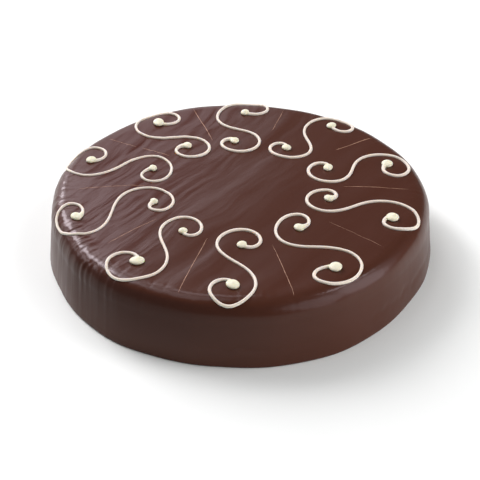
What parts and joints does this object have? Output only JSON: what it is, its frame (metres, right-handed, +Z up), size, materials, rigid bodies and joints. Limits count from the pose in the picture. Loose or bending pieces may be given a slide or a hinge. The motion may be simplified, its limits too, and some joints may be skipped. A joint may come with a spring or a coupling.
{
  "type": "chocolate-glazed round cake",
  "caption": "Low round cake in a smooth dark chocolate glaze with a softly rounded shoulder and a ring of piped S-shaped icing scrolls on top.",
  "frame": {"origin": "centre of the cake's flat base, on the surface that it stands on", "axes": "+Z up; -Y towards the viewer, +X to the viewer's right"},
  "size_m": [0.2416, 0.2404, 0.045],
  "materials": {
    "chocolate_glaze": "satin-gloss dark chocolate glaze with faint palette-knife streaks",
    "icing": "smooth set white chocolate icing"
  },
  "bodies": {
    "root": {"glazed_cake": "chocolate_glaze", "scroll_01": "icing", "scroll_02": "icing", "scroll_03": "icing", "scroll_04": "icing", "scroll_05": "icing", "scroll_06": "icing", "scroll_07": "icing", "scroll_08": "icing", "scroll_09": "icing", "scroll_10": "icing"}
  },
  "joints": []
}
